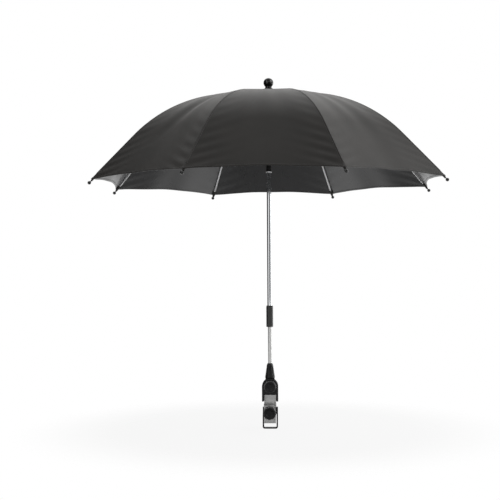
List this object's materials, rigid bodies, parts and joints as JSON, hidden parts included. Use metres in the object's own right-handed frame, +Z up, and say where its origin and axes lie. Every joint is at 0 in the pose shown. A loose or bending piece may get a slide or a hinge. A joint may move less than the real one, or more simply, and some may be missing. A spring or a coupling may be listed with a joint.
{
  "type": "pram parasol",
  "caption": "Round black parasol with a folding rib frame, sliding runner, bending pole knuckle and a screw clamp that grips a pram's tube.",
  "frame": {"origin": "on the axis of the tube that the clamp grips, in the plane of the pole", "axes": "+X along the clamped tube, +Y away from the clamp's knob, +Z up the pole to the finial"},
  "size_m": [0.8012, 0.8012, 0.83],
  "materials": {
    "black_cloth": "satin",
    "rib_steel": "satin",
    "chrome_tube": "polished",
    "satin_tube": "satin",
    "zinc_steel": "satin",
    "black_plastic": "satin",
    "gloss_black": "gloss",
    "black_rubber": "matte"
  },
  "bodies": {
    "clamp_base": {"clamp_bracket": "zinc_steel", "jaw_frame": "black_plastic", "jaw_rivets": "zinc_steel", "yoke": "black_plastic", "yoke_rivets": "zinc_steel", "tilt_bolt": "zinc_steel"},
    "clamp_pad": {"pressure_pad": "black_rubber"},
    "clamp_spindle": {"clamp_screw": "zinc_steel", "clamp_knob": "black_plastic"},
    "tilt_handle": {"tilt_knob": "black_plastic"},
    "lower_pole": {"pole_socket": "black_plastic", "lower_tube": "satin_tube", "knuckle_tongue": "zinc_steel"},
    "upper_pole": {"upper_tube": "chrome_tube", "knuckle_fork": "zinc_steel", "knuckle_pin": "zinc_steel", "crown": "black_plastic", "crown_ring": "zinc_steel", "canopy_cap": "black_cloth", "finial": "gloss_black"},
    "knuckle_sleeve": {"lock_sleeve": "black_plastic"},
    "runner_slider": {"runner": "black_plastic", "runner_ferrule": "chrome_tube"},
    "catch_spring": {"runner_catch": "zinc_steel"},
    "rib_arm_1": {"rib_1": "rib_steel", "rib_tip_1": "gloss_black", "canopy_1": "black_cloth"},
    "strut_1": {"stretcher_1": "rib_steel"},
    "rib_arm_2": {"rib_2": "rib_steel", "rib_tip_2": "gloss_black", "canopy_2": "black_cloth"},
    "strut_2": {"stretcher_2": "rib_steel"},
    "rib_arm_3": {"rib_3": "rib_steel", "rib_tip_3": "gloss_black", "canopy_3": "black_cloth"},
    "strut_3": {"stretcher_3": "rib_steel"},
    "rib_arm_4": {"rib_4": "rib_steel", "rib_tip_4": "gloss_black", "canopy_4": "black_cloth"},
    "strut_4": {"stretcher_4": "rib_steel"},
    "rib_arm_5": {"rib_5": "rib_steel", "rib_tip_5": "gloss_black", "canopy_5": "black_cloth"},
    "strut_5": {"stretcher_5": "rib_steel"},
    "rib_arm_6": {"rib_6": "rib_steel", "rib_tip_6": "gloss_black", "canopy_6": "black_cloth"},
    "strut_6": {"stretcher_6": "rib_steel"},
    "rib_arm_7": {"rib_7": "rib_steel", "rib_tip_7": "gloss_black", "canopy_7": "black_cloth"},
    "strut_7": {"stretcher_7": "rib_steel"},
    "rib_arm_8": {"rib_8": "rib_steel", "rib_tip_8": "gloss_black", "canopy_8": "black_cloth"},
    "strut_8": {"stretcher_8": "rib_steel"}
  },
  "joints": [
    {"name": "clamp_pad_slide", "type": "slide", "parent": "clamp_base", "child": "clamp_pad", "axis": [0, 1, 0], "range_m": [-0.01551, 0.00801]},
    {"name": "clamp_screw_turn", "type": "hinge", "parent": "clamp_pad", "child": "clamp_spindle", "pos_m": [0, -0.04, 0], "axis": [0, 1, 0], "range_deg": [-2790, 1440]},
    {"name": "tilt_knob_turn", "type": "hinge", "parent": "clamp_base", "child": "tilt_handle", "pos_m": [0, -0.014, 0.0555], "axis": [0, 1, 0], "continuous": true},
    {"name": "socket_tilt", "type": "hinge", "parent": "clamp_base", "child": "lower_pole", "pos_m": [0, 0, 0.0555], "axis": [0, 1, 0], "range_deg": [-75, 75]},
    {"name": "knuckle_tilt", "type": "hinge", "parent": "lower_pole", "child": "upper_pole", "pos_m": [0, 0, 0.204], "axis": [1, 0, 0], "range_deg": [0, 80]},
    {"name": "sleeve_slide", "type": "slide", "parent": "upper_pole", "child": "knuckle_sleeve", "axis": [0, 0, 1], "range_m": [0, 0.0321]},
    {"name": "runner_slide", "type": "slide", "parent": "upper_pole", "child": "runner_slider", "axis": [0, 0, -1], "range_m": [0, 0.24107], "deforming": ["canopy_1", "canopy_2", "canopy_3", "canopy_4", "canopy_5", "canopy_6", "canopy_7", "canopy_8", "runner_catch"]},
    {"name": "catch_press", "type": "slide", "parent": "upper_pole", "child": "catch_spring", "axis": [0, -1, 0], "range_m": [0, 0.0034], "stiffness_N_per_m": 800},
    {"name": "rib_hinge_1", "type": "hinge", "parent": "upper_pole", "child": "rib_arm_1", "pos_m": [0.01109, 0.00459, 0.75397], "axis": [-0.3827, 0.9239, 0], "range_deg": [0, 58.05]},
    {"name": "strut_hinge_1", "type": "hinge", "parent": "rib_arm_1", "child": "strut_1", "pos_m": [0.17816, 0.0738, 0.71662], "axis": [0.3827, -0.9239, 0], "range_deg": [0, 104.56]},
    {"name": "rib_hinge_2", "type": "hinge", "parent": "upper_pole", "child": "rib_arm_2", "pos_m": [0.00459, 0.01109, 0.75397], "axis": [-0.9239, 0.3827, 0], "range_deg": [0, 58.05]},
    {"name": "strut_hinge_2", "type": "hinge", "parent": "rib_arm_2", "child": "strut_2", "pos_m": [0.0738, 0.17816, 0.71662], "axis": [0.9239, -0.3827, 0], "range_deg": [0, 104.56]},
    {"name": "rib_hinge_3", "type": "hinge", "parent": "upper_pole", "child": "rib_arm_3", "pos_m": [-0.00459, 0.01109, 0.75397], "axis": [-0.9239, -0.3827, 0], "range_deg": [0, 58.05]},
    {"name": "strut_hinge_3", "type": "hinge", "parent": "rib_arm_3", "child": "strut_3", "pos_m": [-0.0738, 0.17816, 0.71662], "axis": [0.9239, 0.3827, 0], "range_deg": [0, 104.56]},
    {"name": "rib_hinge_4", "type": "hinge", "parent": "upper_pole", "child": "rib_arm_4", "pos_m": [-0.01109, 0.00459, 0.75397], "axis": [-0.3827, -0.9239, 0], "range_deg": [0, 58.05]},
    {"name": "strut_hinge_4", "type": "hinge", "parent": "rib_arm_4", "child": "strut_4", "pos_m": [-0.17816, 0.0738, 0.71662], "axis": [0.3827, 0.9239, 0], "range_deg": [0, 104.56]},
    {"name": "rib_hinge_5", "type": "hinge", "parent": "upper_pole", "child": "rib_arm_5", "pos_m": [-0.01109, -0.00459, 0.75397], "axis": [0.3827, -0.9239, 0], "range_deg": [0, 58.05]},
    {"name": "strut_hinge_5", "type": "hinge", "parent": "rib_arm_5", "child": "strut_5", "pos_m": [-0.17816, -0.0738, 0.71662], "axis": [-0.3827, 0.9239, 0], "range_deg": [0, 104.56]},
    {"name": "rib_hinge_6", "type": "hinge", "parent": "upper_pole", "child": "rib_arm_6", "pos_m": [-0.00459, -0.01109, 0.75397], "axis": [0.9239, -0.3827, 0], "range_deg": [0, 58.05]},
    {"name": "strut_hinge_6", "type": "hinge", "parent": "rib_arm_6", "child": "strut_6", "pos_m": [-0.0738, -0.17816, 0.71662], "axis": [-0.9239, 0.3827, 0], "range_deg": [0, 104.56]},
    {"name": "rib_hinge_7", "type": "hinge", "parent": "upper_pole", "child": "rib_arm_7", "pos_m": [0.00459, -0.01109, 0.75397], "axis": [0.9239, 0.3827, 0], "range_deg": [0, 58.05]},
    {"name": "strut_hinge_7", "type": "hinge", "parent": "rib_arm_7", "child": "strut_7", "pos_m": [0.0738, -0.17816, 0.71662], "axis": [-0.9239, -0.3827, 0], "range_deg": [0, 104.56]},
    {"name": "rib_hinge_8", "type": "hinge", "parent": "upper_pole", "child": "rib_arm_8", "pos_m": [0.01109, -0.00459, 0.75397], "axis": [0.3827, 0.9239, 0], "range_deg": [0, 58.05]},
    {"name": "strut_hinge_8", "type": "hinge", "parent": "rib_arm_8", "child": "strut_8", "pos_m": [0.17816, -0.0738, 0.71662], "axis": [-0.3827, -0.9239, 0], "range_deg": [0, 104.56]}
  ],
  "couplings": [
    {"joint": "clamp_pad_slide", "follows": "clamp_screw_turn", "m_per_rad": 0.00031831},
    {"joint": "sleeve_slide", "follows": "knuckle_tilt", "m_per_rad": 0.022918},
    {"joint": "rib_hinge_1", "follows": "runner_slide", "rad_per_m": 4.1991},
    {"joint": "strut_hinge_1", "follows": "runner_slide", "rad_per_m": 7.566},
    {"joint": "rib_hinge_2", "follows": "runner_slide", "rad_per_m": 4.1991},
    {"joint": "strut_hinge_2", "follows": "runner_slide", "rad_per_m": 7.566},
    {"joint": "rib_hinge_3", "follows": "runner_slide", "rad_per_m": 4.1991},
    {"joint": "strut_hinge_3", "follows": "runner_slide", "rad_per_m": 7.566},
    {"joint": "rib_hinge_4", "follows": "runner_slide", "rad_per_m": 4.1991},
    {"joint": "strut_hinge_4", "follows": "runner_slide", "rad_per_m": 7.566},
    {"joint": "rib_hinge_5", "follows": "runner_slide", "rad_per_m": 4.1991},
    {"joint": "strut_hinge_5", "follows": "runner_slide", "rad_per_m": 7.566},
    {"joint": "rib_hinge_6", "follows": "runner_slide", "rad_per_m": 4.1991},
    {"joint": "strut_hinge_6", "follows": "runner_slide", "rad_per_m": 7.566},
    {"joint": "rib_hinge_7", "follows": "runner_slide", "rad_per_m": 4.1991},
    {"joint": "strut_hinge_7", "follows": "runner_slide", "rad_per_m": 7.566},
    {"joint": "rib_hinge_8", "follows": "runner_slide", "rad_per_m": 4.1991},
    {"joint": "strut_hinge_8", "follows": "runner_slide", "rad_per_m": 7.566}
  ]
}
